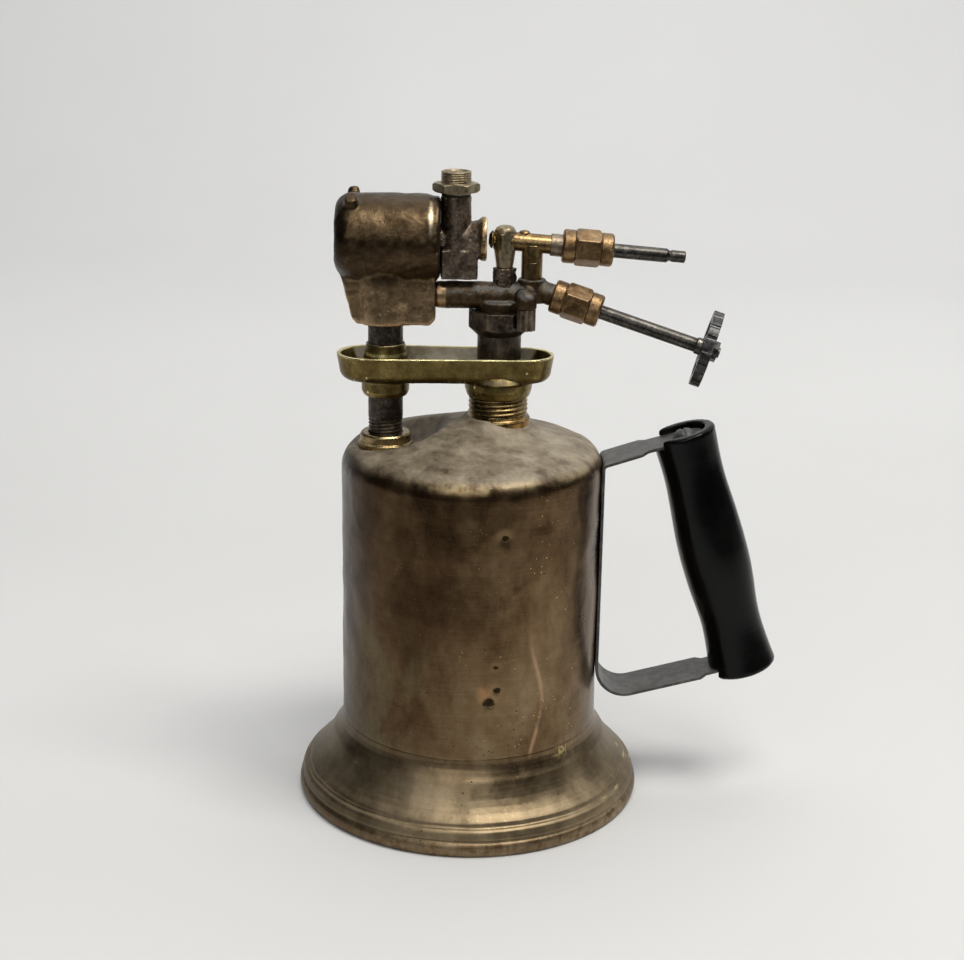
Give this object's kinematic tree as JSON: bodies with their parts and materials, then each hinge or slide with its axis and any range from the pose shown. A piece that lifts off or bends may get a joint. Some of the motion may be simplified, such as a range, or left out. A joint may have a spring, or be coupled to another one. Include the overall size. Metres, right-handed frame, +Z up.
{
  "type": "gasoline blow torch",
  "caption": "Brass blow torch: round fuel tank on a bell foot, priming cup on two columns, cast burner, two needle valves, handwheel, strap handle with a black grip.",
  "frame": {"origin": "centre of the foot's rim, in the plane that the torch stands on, on the tank axis", "axes": "+Z up along the tank axis, -X towards the muzzle, +X towards the handle, +Y to the left of someone who holds the handle and looks along the burner"},
  "size_m": [0.1959, 0.14, 0.254],
  "materials": {
    "tank_brass": "aged, patchy brown patina",
    "foot_brass": "aged, olive patina",
    "inner_brass": "dull",
    "fitting_brass": "satin, worn bright on edges",
    "cup_brass": "cast, yellow-green, worn rim",
    "cast_bronze": "rough sand cast, dark",
    "sooty_bronze": "rough, sooty",
    "plug_bronze": "machined, aged",
    "bright_brass": "drawn, worn bright",
    "nut_bronze": "machined, reddish",
    "iron_pipe": "dark, oxidised",
    "dark_steel": "dark, oxidised",
    "black_steel": "black paint, rubbed",
    "black_wood": "gloss black paint on turned wood",
    "graphite": "matt packing",
    "leather": "oiled leather",
    "wick_cotton": "twisted cotton"
  },
  "bodies": {
    "torch": {"tank_shell": "tank_brass", "tank_bottom": "inner_brass", "foot_ring": "foot_brass", "front_bush": "fitting_brass", "front_pipe": "iron_pipe", "dip_tube": "inner_brass", "wick": "wick_cotton", "vapour_screen": "inner_brass", "rear_neck": "fitting_brass", "drip_cup": "cup_brass", "rear_pipe": "iron_pipe", "union_nut": "sooty_bronze", "burner_casting": "cast_bronze", "mixing_block": "sooty_bronze", "plug_gasket": "graphite", "cleaning_plug": "plug_bronze", "valve_body": "cast_bronze", "side_plug": "sooty_bronze", "jet_post_nut": "sooty_bronze", "jet_post": "plug_bronze", "upper_valve_tube": "bright_brass", "jet_nipple": "bright_brass", "link_tube": "bright_brass", "upper_collar": "sooty_bronze", "upper_packing_nut": "nut_bronze", "lower_packing_nut": "nut_bronze", "upper_packing": "graphite", "lower_packing": "graphite", "handle_strap": "black_steel", "grip": "black_wood", "handle_bolt": "black_steel", "handle_nut": "dark_steel", "pump_barrel": "inner_brass", "pump_cap": "fitting_brass", "check_valve_body": "inner_brass", "check_valve_spring": "dark_steel", "filler_bush": "fitting_brass"},
    "lower_needle_slide": {"lower_needle": "dark_steel"},
    "lower_wheel_and_stem": {"lower_stem": "dark_steel", "handwheel": "black_steel", "wheel_nut": "black_steel"},
    "upper_needle_slide": {"upper_needle": "dark_steel"},
    "upper_stem_turn": {"upper_stem": "dark_steel"},
    "pump_plunger": {"pump_rod": "dark_steel", "pump_knob": "fitting_brass", "pump_leather": "leather", "pump_washers": "inner_brass"},
    "check_disc": {"check_valve_disc": "inner_brass"},
    "filler_cap": {"filler_plug": "fitting_brass", "filler_gasket": "leather"}
  },
  "joints": [
    {"name": "lower_valve_lift", "type": "slide", "parent": "torch", "child": "lower_needle_slide", "axis": [0.9455, -0.1498, -0.289], "range_m": [0, 0.00212]},
    {"name": "lower_valve_turn", "type": "hinge", "parent": "lower_needle_slide", "child": "lower_wheel_and_stem", "pos_m": [0.0479, -0.0046, 0.2014], "axis": [0.9455, -0.1498, -0.289], "range_deg": [0, 720]},
    {"name": "upper_valve_lift", "type": "slide", "parent": "torch", "child": "upper_needle_slide", "axis": [0.9969, 0, -0.0785], "range_m": [0, 0.00212]},
    {"name": "upper_valve_turn", "type": "hinge", "parent": "upper_needle_slide", "child": "upper_stem_turn", "pos_m": [0.0135, 0, 0.2274], "axis": [0.9969, 0, -0.0785], "range_deg": [0, 720]},
    {"name": "pump_stroke", "type": "slide", "parent": "torch", "child": "pump_plunger", "axis": [0, 0, -1], "range_m": [0, 0.06]},
    {"name": "check_valve_lift", "type": "slide", "parent": "torch", "child": "check_disc", "axis": [0, 0, 1], "range_m": [0, 0.0012], "stiffness_N_per_m": 60, "springref_m": -0.001, "deforming": ["check_valve_spring"]},
    {"name": "filler_plug_out", "type": "slide", "parent": "torch", "child": "filler_cap", "axis": [0, 0, -1], "range_m": [0, 0.012]}
  ],
  "couplings": [
    {"joint": "lower_valve_turn", "follows": "lower_valve_lift", "rad_per_m": 5936.5},
    {"joint": "upper_valve_turn", "follows": "upper_valve_lift", "rad_per_m": 5936.5}
  ]
}
